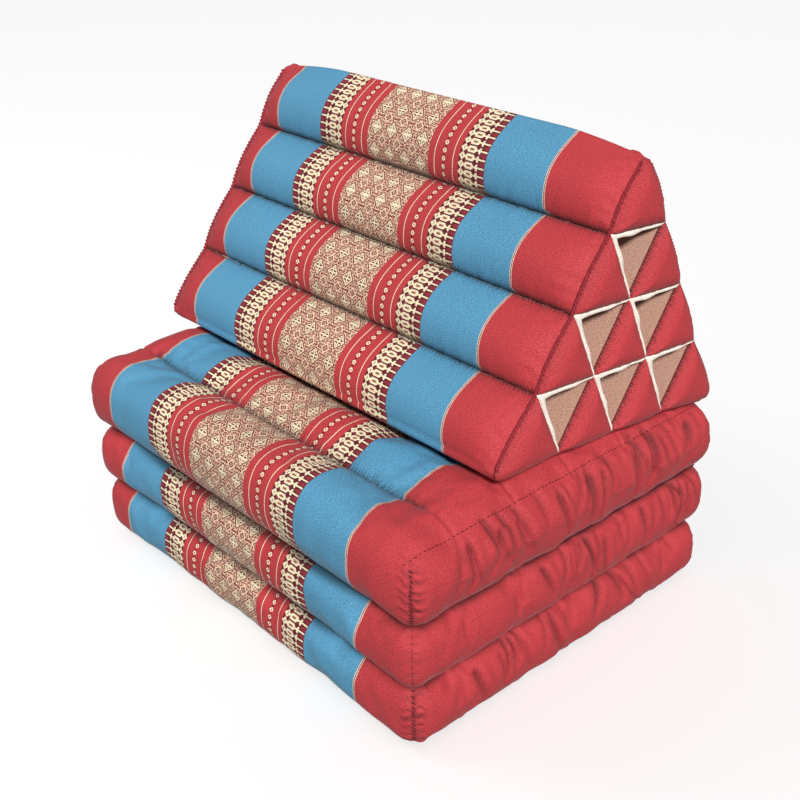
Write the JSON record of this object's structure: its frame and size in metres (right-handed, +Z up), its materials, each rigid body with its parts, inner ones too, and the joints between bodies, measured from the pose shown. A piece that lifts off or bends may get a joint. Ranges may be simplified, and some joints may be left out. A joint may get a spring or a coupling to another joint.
{
  "type": "folding floor cushion",
  "caption": "Folding floor cushion: a triangular bolster of stuffed tubes with recessed ends, resting on a stack of quilted mats folded under it.",
  "frame": {"origin": "bottom centre of the whole cushion, on the floor under the middle of the mats", "axes": "+X along the bolster to its right end, +Y towards the back, +Z up"},
  "size_m": [0.556, 0.447, 0.5185],
  "materials": {
    "woven_cloth": "woven cotton with patterned bands",
    "red_cloth": "plain woven cotton",
    "calico": "undyed plain cotton"
  },
  "bodies": {
    "root": {"mat_top": "woven_cloth", "mat_middle": "woven_cloth", "mat_bottom": "woven_cloth", "tube_01": "woven_cloth", "tube_02": "woven_cloth", "tube_03": "woven_cloth", "tube_04": "woven_cloth", "tube_05": "calico", "tube_06": "woven_cloth", "tube_07": "woven_cloth", "tube_08": "woven_cloth", "tube_09": "woven_cloth", "tube_10": "woven_cloth", "end_right_01": "red_cloth", "end_right_02": "red_cloth", "end_right_03": "red_cloth", "end_right_04": "red_cloth", "end_right_05": "red_cloth", "end_right_06": "red_cloth", "end_right_07": "red_cloth", "end_right_08": "red_cloth", "end_right_09": "red_cloth", "end_right_10": "red_cloth", "end_left_01": "red_cloth", "end_left_02": "red_cloth", "end_left_03": "red_cloth", "end_left_04": "red_cloth", "end_left_05": "red_cloth", "end_left_06": "red_cloth", "end_left_07": "red_cloth", "end_left_08": "red_cloth", "end_left_09": "red_cloth", "end_left_10": "red_cloth"}
  },
  "joints": []
}
